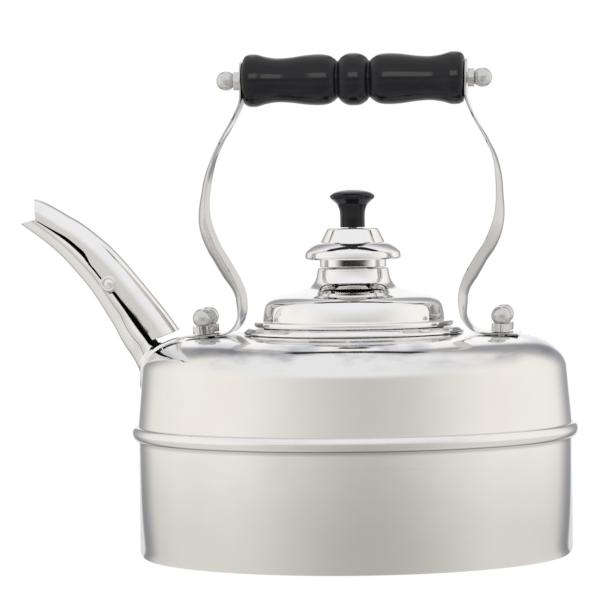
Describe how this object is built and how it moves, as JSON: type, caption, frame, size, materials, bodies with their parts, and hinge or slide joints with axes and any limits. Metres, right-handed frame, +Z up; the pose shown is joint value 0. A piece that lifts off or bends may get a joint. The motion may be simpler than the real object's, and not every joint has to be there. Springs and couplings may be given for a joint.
{
  "type": "stovetop tea kettle",
  "caption": "Round drum stovetop kettle with a seam hoop, stepped lift-off lid, slim spout under a rocking sprung cover, and a turned grip on sprung steel straps.",
  "frame": {"origin": "centre of the drum's flat base, where the kettle stands", "axes": "+Z up, spout along -X, the handle's straps at -X and +X of the lid, +Y to the rear of the pictured side"},
  "size_m": [0.2584, 0.2062, 0.2321],
  "materials": {
    "body_chrome": "polished",
    "bright_chrome": "mirror polished",
    "strap_chrome": "polished",
    "fixings_steel": "plain",
    "seal_rubber": "matte",
    "grip_black": "gloss lacquer",
    "knob_black": "gloss lacquer"
  },
  "bodies": {
    "kettle": {"lower_drum": "body_chrome", "upper_shell": "body_chrome", "seam_bead": "body_chrome", "lid_collar": "bright_chrome", "spout_tube": "bright_chrome", "spout_flange": "bright_chrome", "cover_spring": "fixings_steel", "pivot_boss_near": "fixings_steel", "pivot_boss_far": "fixings_steel", "pivot_rivet_near": "bright_chrome", "pivot_rivet_far": "bright_chrome", "handle_grip": "grip_black", "grip_rod": "fixings_steel", "grip_nut_left": "bright_chrome", "grip_nut_right": "bright_chrome", "strap_left": "strap_chrome", "strap_right": "strap_chrome", "foot_nut_left_near": "bright_chrome", "foot_nut_left_far": "bright_chrome", "foot_nut_right_near": "bright_chrome", "foot_nut_right_far": "bright_chrome", "foot_screw_left_near": "fixings_steel", "foot_screw_left_far": "fixings_steel", "foot_screw_right_near": "fixings_steel", "foot_screw_right_far": "fixings_steel", "foot_washer_left_near": "seal_rubber", "foot_washer_left_far": "seal_rubber", "foot_washer_right_near": "seal_rubber", "foot_washer_right_far": "seal_rubber"},
    "lid": {"lid_dome": "bright_chrome", "lid_skirt": "fixings_steel", "lid_sleeve": "bright_chrome", "lid_cap": "bright_chrome", "knob": "knob_black", "knob_screw": "fixings_steel", "knob_washer": "fixings_steel"},
    "cover": {"spout_cover": "bright_chrome", "whistle_front": "fixings_steel", "whistle_back": "fixings_steel"}
  },
  "joints": [
    {"name": "lid_lift", "type": "slide", "parent": "kettle", "child": "lid", "axis": [0, 0, 1], "range_m": [0, 0.03]},
    {"name": "cover_rock", "type": "hinge", "parent": "kettle", "child": "cover", "pos_m": [-0.1132, 0, 0.1268], "axis": [0, 1, 0], "range_deg": [0, 5], "stiffness_Nm_per_rad": 0.25, "springref_deg": -14.32, "deforming": ["cover_spring"]}
  ]
}
